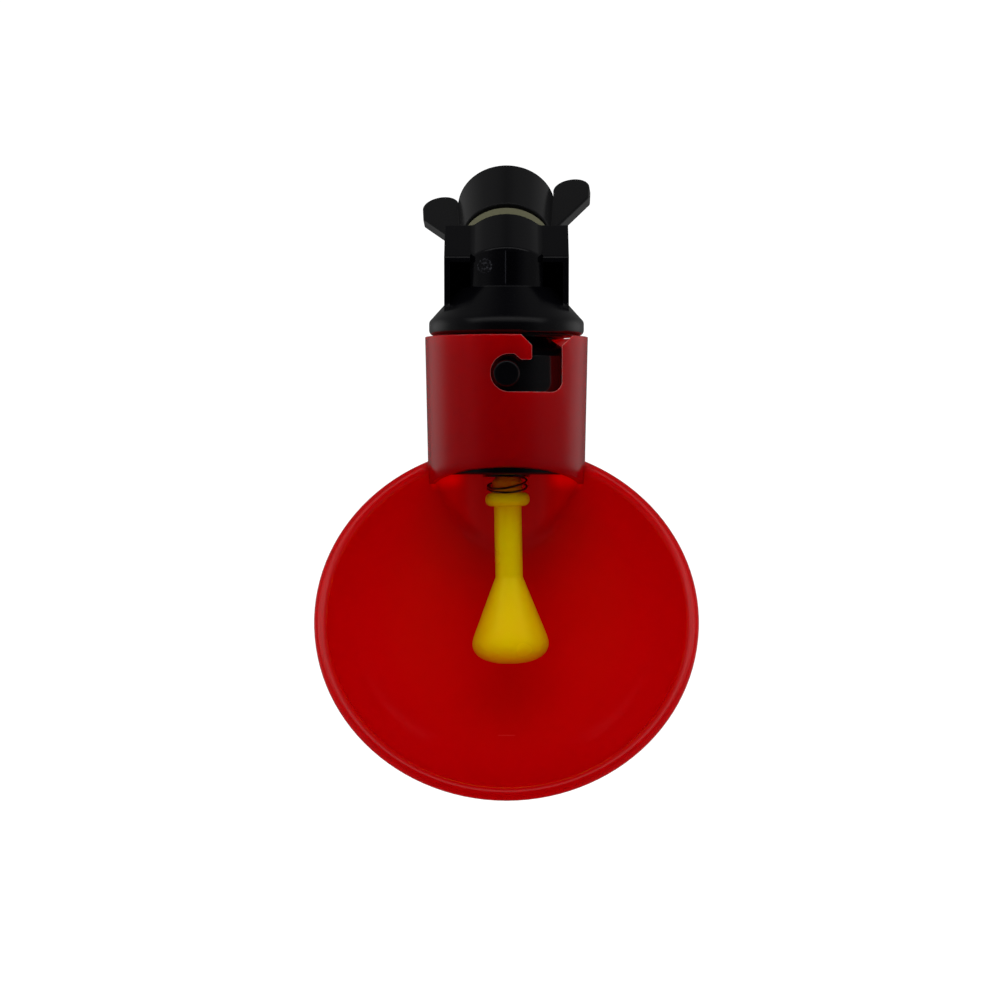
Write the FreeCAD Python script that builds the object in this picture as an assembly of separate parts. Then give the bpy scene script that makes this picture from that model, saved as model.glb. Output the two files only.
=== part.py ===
"""Poultry drinking cup: a tilted bowl that hangs by a bayonet from a valve body with a swinging trigger.

Two frames are used, both in millimetres.
The use frame is the frame of the finished part. The inlet stem points along +Y, back into the wall of
the tank or pipe, +Z is up, and X = 0 is the plane of symmetry. The origin is on the stem's axis, in
the flat sealing face of the valve body.
The neck frame is the frame in which the cup and the valve are turned. Its Z axis is the neck's axis,
its origin is the centre of the neck's upper rim, and its -Y side is the front. The function
to_use_frame leans it back, so that the bowl comes level enough to hold water.
"""
import FreeCAD, Part
import math
import os

from FreeCAD import Placement, Rotation, Vector

# How the neck sits in the use frame
NECK_LEAN = 35.0
STEM_BEHIND_NECK_AXIS = 6.8
STEM_ABOVE_RIM = 18.0

# Cup: neck
NECK_TOP_RADIUS = 17.25
NECK_FOOT_RADIUS = 16.65
NECK_FOOT_DEPTH = 26.2
NECK_BORE_RADIUS = 15.35
FRONT_WALL_DEPTH = 27.7
FRONT_WALL_SLOPE = 15.3
NECK_EDGE_ROUND = 0.15

# Cup: bowl, a body of revolution about the normal of its rim
BOWL_RADIUS = 39.95
BOWL_TILT = 25.7
BOWL_CENTRE_FORWARD = 16.2
BOWL_CENTRE_DEPTH = 58.6
BOWL_DEPTH = 32.0
BOWL_WALL = 1.9
LIP_WIDTH = 2.75
LIP_CROWN = 1.0
LIP_HEIGHT = 1.6

# Bayonet: the pegs are on the valve body, the two slots in the neck
PEG_RADIUS = 2.72
PEG_DEPTH = 8.1
PEG_PROUD = 0.45
PEG_ROUND = 0.5
SLOT_SLACK_BELOW = 1.1
SLOT_SLACK_ABOVE = 0.1
DETENT_RISE = 1.2
DETENT_RUN = 1.4
DETENT_LEFT = 3.0
POCKET_SIDE_SLACK = 0.6
ENTRY_LEFT = 5.3
ENTRY_RIGHT = 11.55
ENTRY_CHAMFER = 2.3
SLOT_CORNER_ROUND = 2.3
TOOTH_ROUND = 0.5

# Valve body: skirt, waist and spigot
SKIRT_RADIUS = 16.4
SKIRT_GAP = 0.25
SKIRT_EDGE_HEIGHT = 2.95
SKIRT_EDGE_ROUND = 1.2
SKIRT_CONE_ANGLE = 48.0
WAIST_RADIUS = 8.2
WAIST_HEIGHT = 4.6
SPIGOT_CLEARANCE = 0.3
SPIGOT_LENGTH = 29.1
SPIGOT_END_CHAMFER = 0.4

# Valve body: block with arched crown, side pockets and the column in the middle
BLOCK_WIDTH = 26.2
BLOCK_SHOULDER = 7.2
BLOCK_ARCH_RADIUS = 10.0
CROWN_FOOT_ROUND = 1.8
BLOCK_FRONT = 7.8
BLOCK_FRONT_DRAFT = 6.5
BLOCK_EDGE_ROUND = 0.7
BLOCK_LOWER_EDGE = 3.2
BLOCK_BACK_PLATE = 3.0
COLUMN_RADIUS = 10.0
COLUMN_WIDTH = 15.3
POCKET_WALL = 1.2
POCKET_ROOF = 1.1
POCKET_FRONT = 7.5

# Inlet stem and water way
STEM_RADIUS = 5.55
STEM_LENGTH = 25.0
STEM_BORE_RADIUS = 3.5
STEM_END_CHAMFER = 0.6
CHANNEL_RADIUS = 2.5
CHAMBER_RADIUS = 7.0
CHAMBER_TOP_DEPTH = 15.5

# Seat nut, screwed into the spigot's end, with its O-ring
SEAT_NUT_RADIUS = 11.0
SEAT_NUT_HEIGHT = 5.0
SEAT_BORE_TOP_RADIUS = 3.0
SEAT_BORE_FOOT_RADIUS = 3.45
SPRING_SEAT_WALL = 0.45
SPRING_SEAT_HEIGHT = 0.5
SPANNER_HOLE_RADIUS = 0.9
SPANNER_HOLE_CIRCLE = 7.6
SPANNER_HOLE_DEPTH = 2.0
RING_SECTION_RADIUS = 0.8
RING_CIRCLE_RADIUS = 8.8
RING_GROOVE_DEPTH = 0.6
SCREWED_FIT = 0.05

# Trigger with its rubber seal and spring
TRIGGER_LEAN = 1.2
SEAL_RADIUS = 4.6
SEAL_THICKNESS = 1.5
SEAL_GAP = 0.15
HEAD_THICKNESS = 1.6
HEAD_ROUND = 0.4
STEM_PIN_RADIUS = 2.2
BOSS_RADIUS = 3.25
BOSS_TOP_DEPTH = 30.6
BOSS_CONE_TOP_DEPTH = 29.3
COLLAR_RADIUS = 4.7
COLLAR_TOP_DEPTH = 32.9
COLLAR_FOOT_DEPTH = 35.8
COLLAR_ROUND = 1.3
SHAFT_RADIUS = 2.92
BULB_NECK_DEPTH = 50.8
BULB_CONE_RADIUS = 7.4
BULB_CONE_DEPTH = 62.3
BULB_RADIUS = 8.05
BULB_WIDEST_DEPTH = 64.4
BULB_FOOT_DEPTH = 69.2
SPRING_RADIUS = 4.15
SPRING_WIRE_RADIUS = 0.22
SPRING_CLOSED_TURNS = 2.0
SPRING_OPEN_TURNS = 1.25
SPRING_CLOSED_PITCH = 0.45
SPRING_TOP_TURNS = 0.75
SPRING_TOP_GAP = 0.15
SPRING_SEAT_SLACK = 0.2

# Wall gasket and wing nut, on the inlet stem
GASKET_RADIUS = 10.0
GASKET_THICKNESS = 2.5
GASKET_FIT = 0.05
NUT_START = 4.6
NUT_LENGTH = 14.9
NUT_NEAR_RADIUS = 9.9
NUT_FAR_RADIUS = 10.6
THREAD_DEPTH = 0.7
NUT_THREAD_CLEARANCE = 0.1
NUT_CHAMFER = 0.3
EAR_THICKNESS = 2.2
EAR_ROLL = 9.0
EAR_TIP_RADIUS = 18.45
EAR_CORNER_RADIUS = 18.25
EAR_CORNER_BACK = 12.8
EAR_CORNER_ROUND = 1.2
EAR_LOBE_WIDTH = 8.0
EAR_OVERHANG = 6.6
EAR_EDGE_ROUND = 0.35

X_AXIS = Vector(1, 0, 0)
Y_AXIS = Vector(0, 1, 0)
Z_AXIS = Vector(0, 0, 1)
ORIGIN = Vector(0, 0, 0)
FAR = 200.0

SPIGOT_RADIUS = NECK_BORE_RADIUS - SPIGOT_CLEARANCE
SEAT_LEVEL = -SPIGOT_LENGTH + SEAT_NUT_HEIGHT
RECESS_TOP = SEAT_LEVEL - RING_GROOVE_DEPTH + 2 * RING_SECTION_RADIUS


def neck_placement():
    """The move that leans the neck frame back and puts the stem's root at the origin."""
    lean = Rotation(X_AXIS, -NECK_LEAN)
    stem_root = Vector(0, STEM_BEHIND_NECK_AXIS, STEM_ABOVE_RIM)
    return Placement(-lean.multVec(stem_root), lean)


def to_use_frame(shape):
    moved = shape.copy()
    moved.Placement = neck_placement().multiply(moved.Placement)
    return moved


def to_neck_frame(shape):
    moved = shape.copy()
    moved.Placement = neck_placement().inverse().multiply(moved.Placement)
    return moved


def box_between(low, high):
    size = high - low
    return Part.makeBox(size.x, size.y, size.z, low)


def polyline_face(points):
    return Part.Face(Part.makePolygon(points + [points[0]]))


def turned(points, axis=Z_AXIS, centre=ORIGIN):
    """A full turn of the outline through the given points."""
    return polyline_face(points).revolve(centre, axis, 360)


def rounded(shape, radius, chosen):
    """Fillets the edges for which chosen(edge) is true."""
    edges = [edge for edge in shape.Edges if chosen(edge)]
    return shape.makeFillet(radius, edges) if edges else shape


def circle_edges_at(level, radius):
    """A test for whole circles of one radius about the Z axis, at one height."""
    def chosen(edge):
        if edge.Degenerated or not isinstance(edge.Curve, Part.Circle):
            return False
        curve = edge.Curve
        near_axis = math.hypot(curve.Center.x, curve.Center.y) < 0.01
        return near_axis and abs(curve.Center.z - level) < 0.01 and abs(curve.Radius - radius) < 0.01
    return chosen


def bowl_point(radius, depth):
    """A point of the bowl's section, in the plane X = 0, on the side that is away from the neck."""
    tilt = math.radians(BOWL_TILT)
    forward = BOWL_CENTRE_FORWARD + radius * math.sin(tilt) - depth * math.cos(tilt)
    height = -BOWL_CENTRE_DEPTH - radius * math.cos(tilt) - depth * math.sin(tilt)
    return Vector(0, -forward, height)


def bowl_centre():
    return bowl_point(0, 0)


def bowl_normal():
    return (bowl_point(0, 0) - bowl_point(0, 1)).normalize()


def bowl_wall_point(depth, offset):
    """A point of the wall's inner side, which is part of a sphere, moved out by offset."""
    rim_radius = BOWL_RADIUS - LIP_WIDTH
    drop = BOWL_DEPTH - LIP_CROWN
    sphere_radius = (rim_radius ** 2 + drop ** 2) / (2 * drop)
    from_centre = depth - (BOWL_DEPTH - sphere_radius)
    return bowl_point(math.sqrt(max((sphere_radius + offset) ** 2 - from_centre ** 2, 0)), depth)


def bowl_wall_curve(start_depth, offset):
    """The bowl's wall in section, from a depth under the rim to the middle of its floor."""
    floor = BOWL_DEPTH + offset
    start = bowl_wall_point(start_depth, offset)
    middle = bowl_wall_point((start_depth + 3 * floor) / 4, offset)
    return Part.Arc(start, middle, bowl_point(0, floor)).toShape()


def bowl_shell():
    """The wall of the bowl with its crowned lip."""
    inner_start = bowl_wall_point(LIP_CROWN, 0)
    lip_top = bowl_point(BOWL_RADIUS - LIP_WIDTH / 2, 0)
    lip_shoulder = bowl_point(BOWL_RADIUS, LIP_CROWN)
    lip_foot = bowl_point(BOWL_RADIUS, LIP_HEIGHT)
    section = Part.Wire([
        bowl_wall_curve(LIP_CROWN, 0),
        Part.makeLine(bowl_point(0, BOWL_DEPTH), bowl_point(0, BOWL_DEPTH + BOWL_WALL)),
        bowl_wall_curve(LIP_HEIGHT, BOWL_WALL),
        Part.makeLine(bowl_wall_point(LIP_HEIGHT, BOWL_WALL), lip_foot),
        Part.makeLine(lip_foot, lip_shoulder),
        Part.Arc(lip_shoulder, lip_top, inner_start).toShape(),
    ])
    return Part.Face(section).revolve(bowl_centre(), bowl_normal(), 360)


def bowl_hollow():
    """The space inside the bowl, up to the plane of its rim."""
    inner_radius = BOWL_RADIUS - LIP_WIDTH
    section = Part.Wire([
        Part.makeLine(bowl_point(0, 0), bowl_point(inner_radius, 0)),
        Part.makeLine(bowl_point(inner_radius, 0), bowl_point(inner_radius, LIP_CROWN)),
        bowl_wall_curve(LIP_CROWN, 0),
        Part.makeLine(bowl_point(0, BOWL_DEPTH), bowl_point(0, 0)),
    ])
    return Part.Face(section).revolve(bowl_centre(), bowl_normal(), 360)


def neck_radius(height):
    taper = (NECK_TOP_RADIUS - NECK_FOOT_RADIUS) / NECK_FOOT_DEPTH
    return NECK_TOP_RADIUS + taper * height


def neck_core():
    """The neck as a filled cone, with its front cut off where it ends above the bowl."""
    foot = -BOWL_CENTRE_DEPTH
    core = Part.makeCone(neck_radius(foot), NECK_TOP_RADIUS, -foot, Vector(0, 0, foot))
    core = rounded(core, NECK_EDGE_ROUND, circle_edges_at(0, NECK_TOP_RADIUS))
    return core.cut(front_opening())


def front_opening():
    """What lies before the rim's plane and under the sloping lower end of the neck's front wall."""
    slope = math.tan(math.radians(FRONT_WALL_SLOPE))
    rim_slope = 1 / math.tan(math.radians(BOWL_TILT))
    level_at_axis = -FRONT_WALL_DEPTH - slope * NECK_BORE_RADIUS
    rim_at_axis = -BOWL_CENTRE_DEPTH + rim_slope * BOWL_CENTRE_FORWARD
    meeting = (rim_at_axis - level_at_axis) / (slope + rim_slope)
    reach = 3 * NECK_TOP_RADIUS
    outline = [
        Vector(-FAR, -meeting, level_at_axis + slope * meeting),
        Vector(-FAR, -reach, level_at_axis + slope * reach),
        Vector(-FAR, -reach, rim_at_axis - rim_slope * reach),
    ]
    return polyline_face(outline).extrude(Vector(2 * FAR, 0, 0))


def slot_profile():
    """The J of one bayonet slot as seen from the front, in the plane Y = 0."""
    floor = -PEG_DEPTH - PEG_RADIUS - SLOT_SLACK_BELOW
    tooth = -PEG_DEPTH + PEG_RADIUS + SLOT_SLACK_ABOVE
    ceiling = tooth + DETENT_RISE
    end_radius = (ceiling - floor) / 2
    end_x = -PEG_RADIUS - POCKET_SIDE_SLACK + end_radius
    above = 2.0
    corner = SLOT_CORNER_ROUND
    turn = corner * math.cos(math.radians(45))

    def point(x, z):
        return Vector(x, 0, z)

    edges = [
        Part.Arc(point(end_x, ceiling), point(end_x - end_radius, (ceiling + floor) / 2),
                 point(end_x, floor)).toShape(),
        Part.makeLine(point(end_x, floor), point(ENTRY_RIGHT - corner, floor)),
        Part.Arc(point(ENTRY_RIGHT - corner, floor),
                 point(ENTRY_RIGHT - corner + turn, floor + corner - turn),
                 point(ENTRY_RIGHT, floor + corner)).toShape(),
    ]
    rest = [
        point(ENTRY_RIGHT, floor + corner),
        point(ENTRY_RIGHT, -ENTRY_CHAMFER),
        point(ENTRY_RIGHT + ENTRY_CHAMFER, 0),
        point(ENTRY_RIGHT + ENTRY_CHAMFER, above),
        point(ENTRY_LEFT - ENTRY_CHAMFER, above),
        point(ENTRY_LEFT - ENTRY_CHAMFER, 0),
        point(ENTRY_LEFT, -ENTRY_CHAMFER),
        point(ENTRY_LEFT, tooth),
        point(DETENT_LEFT, tooth),
        point(DETENT_LEFT - DETENT_RUN, ceiling),
        point(end_x, ceiling),
    ]
    edges += [Part.makeLine(start, end) for start, end in zip(rest, rest[1:])]
    return Part.Face(Part.Wire(edges))


def at_tooth_corner(edge):
    """True for the edges of a slot's tool that form the two lower corners of its tooth."""
    tooth = -PEG_DEPTH + PEG_RADIUS + SLOT_SLACK_ABOVE
    middle = edge.CenterOfMass
    straight_out = abs(edge.Vertexes[0].X - edge.Vertexes[-1].X) < 0.01
    at_corner = min(abs(middle.x - ENTRY_LEFT), abs(middle.x - DETENT_LEFT)) < 0.01
    return straight_out and at_corner and abs(middle.z - tooth) < 0.01


def bayonet_slots():
    """Both slots, drawn straight out to the front and to the back as a mould's side cores are."""
    front = rounded(slot_profile().extrude(Vector(0, -FAR, 0)), TOOTH_ROUND, at_tooth_corner)
    back = front.copy()
    back.rotate(ORIGIN, Z_AXIS, 180)
    return front, back


def make_cup():
    neck_bore = Part.makeCylinder(NECK_BORE_RADIUS, BOWL_CENTRE_DEPTH + FAR, Vector(0, 0, -BOWL_CENTRE_DEPTH))
    cup = neck_core().fuse(bowl_shell())
    cup = cup.cut(bowl_hollow()).cut(neck_bore)
    for slot in bayonet_slots():
        cup = cup.cut(slot)
    return to_use_frame(cup.removeSplitter())


def cone_height(radius):
    """Height of the skirt's sloping upper side at a radius."""
    slope = math.tan(math.radians(SKIRT_CONE_ANGLE))
    edge_top = SKIRT_GAP + SKIRT_EDGE_HEIGHT
    return edge_top + slope * (SKIRT_RADIUS - radius)


def skirt_and_spigot():
    """The turned parts of the valve body: sloping skirt, narrow waist and long spigot."""
    waist_foot = SKIRT_GAP - WAIST_HEIGHT
    outline = [
        Vector(0, 0, -SPIGOT_LENGTH),
        Vector(SPIGOT_RADIUS - SPIGOT_END_CHAMFER, 0, -SPIGOT_LENGTH),
        Vector(SPIGOT_RADIUS, 0, -SPIGOT_LENGTH + SPIGOT_END_CHAMFER),
        Vector(SPIGOT_RADIUS, 0, waist_foot),
        Vector(WAIST_RADIUS, 0, SKIRT_GAP),
        Vector(SKIRT_RADIUS, 0, SKIRT_GAP),
        Vector(SKIRT_RADIUS, 0, SKIRT_GAP + SKIRT_EDGE_HEIGHT),
        Vector(COLUMN_RADIUS, 0, cone_height(COLUMN_RADIUS)),
        Vector(0, 0, cone_height(COLUMN_RADIUS)),
    ]
    body = turned(outline)
    body = rounded(body, SKIRT_EDGE_ROUND, circle_edges_at(SKIRT_GAP + SKIRT_EDGE_HEIGHT, SKIRT_RADIUS))
    return rounded(body, SKIRT_EDGE_ROUND, circle_edges_at(SKIRT_GAP, SKIRT_RADIUS))


def arched_bar():
    """The block's outline, with flat shoulders and a round crown, drawn forward along the stem."""
    half_width = BLOCK_WIDTH / 2
    low = -STEM_ABOVE_RIM / math.cos(math.radians(NECK_LEAN))
    foot_z = BLOCK_SHOULDER + CROWN_FOOT_ROUND
    reach = BLOCK_ARCH_RADIUS + CROWN_FOOT_ROUND
    foot_x = math.sqrt(reach ** 2 - foot_z ** 2)
    half_turn = math.atan2(foot_x, foot_z) / 2

    def point(x, z):
        return Vector(x, 0, z)

    def foot_round(side):
        """The small hollow round between a shoulder and the crown, from the shoulder inwards."""
        middle = point(side * (foot_x - CROWN_FOOT_ROUND * math.sin(half_turn)),
                       foot_z - CROWN_FOOT_ROUND * math.cos(half_turn))
        crown_share = BLOCK_ARCH_RADIUS / reach
        crown_end = point(side * foot_x * crown_share, foot_z * crown_share)
        return Part.Arc(point(side * foot_x, BLOCK_SHOULDER), middle, crown_end), crown_end

    right_round, crown_right = foot_round(1)
    left_round, crown_left = foot_round(-1)
    straight = [
        point(foot_x, BLOCK_SHOULDER), point(half_width, BLOCK_SHOULDER), point(half_width, low),
        point(-half_width, low), point(-half_width, BLOCK_SHOULDER), point(-foot_x, BLOCK_SHOULDER),
    ]
    edges = [Part.makeLine(start, end) for start, end in zip(straight, straight[1:])]
    crown = Part.Arc(crown_left, point(0, BLOCK_ARCH_RADIUS), crown_right)
    edges += [left_round.toShape(), crown.toShape(), right_round.toShape()]
    return Part.Face(Part.Wire(edges)).extrude(Vector(0, -2 * BLOCK_WIDTH, 0))


def shoulder_front_height():
    """Height of the block's flat shoulders at its front plane."""
    lean = math.radians(NECK_LEAN)
    back_along_bar = (STEM_BEHIND_NECK_AXIS + BLOCK_FRONT - BLOCK_SHOULDER * math.sin(lean)) / math.cos(lean)
    return STEM_ABOVE_RIM + BLOCK_SHOULDER * math.cos(lean) - back_along_bar * math.sin(lean)


def block_front_limit():
    """What lies behind the block's front, which slopes back a little towards its foot."""
    top = shoulder_front_height()
    slope = math.tan(math.radians(BLOCK_FRONT_DRAFT))
    outline = [
        Vector(-FAR, -BLOCK_FRONT - (FAR - top) * slope, FAR),
        Vector(-FAR, -BLOCK_FRONT + (top - BLOCK_LOWER_EDGE) * slope, BLOCK_LOWER_EDGE),
        Vector(-FAR, FAR, BLOCK_LOWER_EDGE),
        Vector(-FAR, FAR, FAR),
    ]
    return polyline_face(outline).extrude(Vector(2 * FAR, 0, 0))


def at_shoulder_front(edge):
    """True for the two straight edges along the front of the shoulders."""
    middle = edge.CenterOfMass
    along_x = abs(edge.Vertexes[0].X - edge.Vertexes[-1].X) > COLUMN_WIDTH / 8
    level = abs(edge.Vertexes[0].Z - edge.Vertexes[-1].Z) < 0.01
    beside_column = abs(middle.x) > COLUMN_WIDTH / 2
    return along_x and level and beside_column and abs(middle.z - shoulder_front_height()) < 0.05


def at_crown_front(edge):
    """True for the edges where the column's round front meets the crown and its foot rounds."""
    middle = edge.CenterOfMass
    upright = abs(edge.Vertexes[0].X - edge.Vertexes[-1].X) < 0.01
    in_front = math.hypot(middle.x, middle.y) > COLUMN_RADIUS * 0.9 and middle.y < 0
    return not upright and in_front and middle.z > shoulder_front_height()


def slab_between(low_y, half_width):
    """A slab about the plane X = 0, above the block's lower edge and behind low_y."""
    return box_between(Vector(-half_width, low_y, BLOCK_LOWER_EDGE), Vector(half_width, FAR, FAR))


def column(bar):
    """The column in the middle of the block: round in front, where its top edge is rounded, and flat behind."""
    half_width = COLUMN_WIDTH / 2
    past_column = (half_width + COLUMN_RADIUS) / 2
    front = Part.makeCylinder(COLUMN_RADIUS, FAR, Vector(0, 0, BLOCK_LOWER_EDGE))
    front = bar.common(front).common(slab_between(-FAR, past_column))
    front = rounded(front, BLOCK_EDGE_ROUND, at_crown_front)
    back = bar.common(slab_between(0, half_width))
    return front.common(slab_between(-FAR, half_width)).fuse(back)


def block():
    """The upper block: a sealing plate, two thin side walls and a roof, and the column between them."""
    bar = to_neck_frame(arched_bar())
    wings = bar.common(block_front_limit()).cut(slab_between(-FAR, COLUMN_WIDTH / 2))
    wings = rounded(wings, BLOCK_EDGE_ROUND, at_shoulder_front)
    for side in (-1, 1):
        wings = wings.cut(side_pocket(side))
    return wings.fuse(column(bar))


def side_pocket(side):
    """A pocket beside the column, open to the front and drawn straight out of it."""
    inner = COLUMN_WIDTH / 2
    outer = BLOCK_WIDTH / 2 - POCKET_WALL
    roof = shoulder_front_height() - POCKET_ROOF

    def point(x, z):
        return Vector(side * x, 0, z)

    outline = [
        point(inner, cone_height(math.hypot(inner, POCKET_FRONT))),
        point(outer, cone_height(math.hypot(outer, POCKET_FRONT))),
        point(outer, roof),
        point(inner, roof),
    ]
    pocket = polyline_face(outline).extrude(Vector(0, 2 * FAR, 0))
    pocket.translate(Vector(0, -FAR, 0))
    before_plate = box_between(Vector(-FAR, -FAR, -FAR), Vector(FAR, -BLOCK_BACK_PLATE, FAR))
    return pocket.common(to_neck_frame(before_plate))


def peg(side):
    """One bayonet peg, standing out of the spigot through the neck's wall."""
    reach = neck_radius(-PEG_DEPTH) + PEG_PROUD
    pin = Part.makeCylinder(PEG_RADIUS, reach, Vector(0, 0, -PEG_DEPTH), Vector(0, side, 0))
    rim = [e for e in pin.Edges if isinstance(e.Curve, Part.Circle) and abs(e.Curve.Center.y) > reach / 2]
    return pin.makeFillet(PEG_ROUND, rim)


def water_way():
    """Bore of the stem, channel down the neck's axis, valve chamber and the seat nut's recess."""
    lean = math.radians(NECK_LEAN)
    axis_crossing = -STEM_BEHIND_NECK_AXIS / math.cos(lean)
    stem_bore = Part.makeCylinder(STEM_BORE_RADIUS, STEM_LENGTH - axis_crossing, Vector(0, axis_crossing, 0),
                                  Y_AXIS)
    crossing_height = STEM_ABOVE_RIM - STEM_BEHIND_NECK_AXIS * math.tan(lean)
    channel = Part.makeCylinder(CHANNEL_RADIUS, CHAMBER_TOP_DEPTH + crossing_height,
                                Vector(0, 0, -CHAMBER_TOP_DEPTH))
    chamber = Part.makeCylinder(CHAMBER_RADIUS, SPIGOT_LENGTH - CHAMBER_TOP_DEPTH, Vector(0, 0, -SPIGOT_LENGTH))
    recess = Part.makeCylinder(SEAT_NUT_RADIUS + SCREWED_FIT, SPIGOT_LENGTH + RECESS_TOP,
                               Vector(0, 0, -SPIGOT_LENGTH))
    return [to_neck_frame(stem_bore), channel, chamber, recess]


def inlet_stem():
    stem = Part.makeCylinder(STEM_RADIUS, STEM_LENGTH + BLOCK_BACK_PLATE, Vector(0, -BLOCK_BACK_PLATE, 0), Y_AXIS)
    tip = [e for e in stem.Edges if isinstance(e.Curve, Part.Circle) and e.Curve.Center.y > STEM_LENGTH / 2]
    return to_neck_frame(stem.makeChamfer(STEM_END_CHAMFER, tip))


def make_valve_body():
    body = skirt_and_spigot().fuse(block())
    for piece in (inlet_stem(), peg(-1), peg(1)):
        body = body.fuse(piece)
    body = body.removeSplitter()
    for hollow in water_way():
        body = body.cut(hollow)
    return to_use_frame(body)


def make_seat_nut():
    foot = -SPIGOT_LENGTH
    outline = [
        Vector(SEAT_BORE_FOOT_RADIUS, 0, foot),
        Vector(SEAT_NUT_RADIUS, 0, foot),
        Vector(SEAT_NUT_RADIUS, 0, SEAT_LEVEL),
        Vector(SEAT_BORE_TOP_RADIUS, 0, SEAT_LEVEL),
    ]
    spring_seat = SPRING_RADIUS + SPRING_WIRE_RADIUS + SPRING_SEAT_SLACK
    nut = turned(outline).fuse(turned([
        Vector(spring_seat, 0, foot),
        Vector(spring_seat, 0, foot - SPRING_SEAT_HEIGHT),
        Vector(spring_seat + SPRING_SEAT_WALL, 0, foot - SPRING_SEAT_HEIGHT),
        Vector(spring_seat + SPRING_SEAT_WALL, 0, foot),
    ]))
    groove_half = RING_SECTION_RADIUS
    groove = turned([
        Vector(RING_CIRCLE_RADIUS - groove_half, 0, SEAT_LEVEL - RING_GROOVE_DEPTH),
        Vector(RING_CIRCLE_RADIUS + groove_half, 0, SEAT_LEVEL - RING_GROOVE_DEPTH),
        Vector(RING_CIRCLE_RADIUS + groove_half, 0, SEAT_LEVEL + 1),
        Vector(RING_CIRCLE_RADIUS - groove_half, 0, SEAT_LEVEL + 1),
    ])
    nut = nut.cut(groove)
    for side in (-1, 1):
        hole_foot = Vector(side * SPANNER_HOLE_CIRCLE, 0, foot)
        nut = nut.cut(Part.makeCylinder(SPANNER_HOLE_RADIUS, SPANNER_HOLE_DEPTH, hole_foot))
    return to_use_frame(nut)


def make_seat_ring():
    ring = Part.makeTorus(RING_CIRCLE_RADIUS, RING_SECTION_RADIUS)
    ring.translate(Vector(0, 0, RECESS_TOP - RING_SECTION_RADIUS))
    return to_use_frame(ring)


def leaned(shape):
    """Leans the trigger's pieces to one side about the middle of the seat, as the trigger hangs."""
    shape.rotate(Vector(0, 0, SEAT_LEVEL), Y_AXIS, -TRIGGER_LEAN)
    return to_use_frame(shape)


def seal_foot():
    return SEAT_LEVEL + SEAL_GAP


def make_valve_seal():
    foot = seal_foot()
    seal = Part.makeCylinder(SEAL_RADIUS, SEAL_THICKNESS, Vector(0, 0, foot))
    return leaned(seal.cut(Part.makeCylinder(STEM_PIN_RADIUS, SEAL_THICKNESS, Vector(0, 0, foot))))


def make_trigger():
    """Head, pin and bulb of the trigger, one turned outline from top to bottom."""
    head_foot = seal_foot() + SEAL_THICKNESS
    head_top = head_foot + HEAD_THICKNESS

    def point(radius, depth):
        return Vector(radius, 0, -depth)

    upper = [
        Vector(0, 0, head_top),
        Vector(SEAL_RADIUS, 0, head_top),
        Vector(SEAL_RADIUS, 0, head_foot),
        Vector(STEM_PIN_RADIUS, 0, head_foot),
        point(STEM_PIN_RADIUS, BOSS_CONE_TOP_DEPTH),
        point(BOSS_RADIUS, BOSS_TOP_DEPTH),
        point(BOSS_RADIUS, COLLAR_TOP_DEPTH),
        point(COLLAR_RADIUS, COLLAR_TOP_DEPTH),
        point(COLLAR_RADIUS, COLLAR_FOOT_DEPTH),
        point(SHAFT_RADIUS, COLLAR_FOOT_DEPTH),
        point(SHAFT_RADIUS, BULB_NECK_DEPTH),
        point(BULB_CONE_RADIUS, BULB_CONE_DEPTH),
    ]
    edges = [Part.makeLine(start, end) for start, end in zip(upper, upper[1:])]
    bulb = Part.BSplineCurve()
    cone_way = point(BULB_CONE_RADIUS, BULB_CONE_DEPTH) - point(SHAFT_RADIUS, BULB_NECK_DEPTH)
    bulb.interpolate(
        Points=[point(BULB_CONE_RADIUS, BULB_CONE_DEPTH), point(BULB_RADIUS, BULB_WIDEST_DEPTH),
                point(0, BULB_FOOT_DEPTH)],
        InitialTangent=cone_way.normalize(), FinalTangent=Vector(-1, 0, 0))
    edges += [bulb.toShape(), Part.makeLine(point(0, BULB_FOOT_DEPTH), upper[0])]
    trigger = Part.Face(Part.Wire(edges)).revolve(ORIGIN, Z_AXIS, 360)
    trigger = rounded(trigger, COLLAR_ROUND, circle_edges_at(-COLLAR_TOP_DEPTH, COLLAR_RADIUS))
    trigger = rounded(trigger, COLLAR_ROUND, circle_edges_at(-COLLAR_FOOT_DEPTH, COLLAR_RADIUS))
    trigger = rounded(trigger, HEAD_ROUND, circle_edges_at(head_top, SEAL_RADIUS))
    return leaned(trigger)


def spring_foot():
    """Height of the wire's centre where the spring rests on the collar's rounded shoulder."""
    reach = SPRING_RADIUS - (COLLAR_RADIUS - COLLAR_ROUND)
    return -COLLAR_TOP_DEPTH - COLLAR_ROUND + math.sqrt((COLLAR_ROUND + SPRING_WIRE_RADIUS) ** 2 - reach ** 2)


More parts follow.
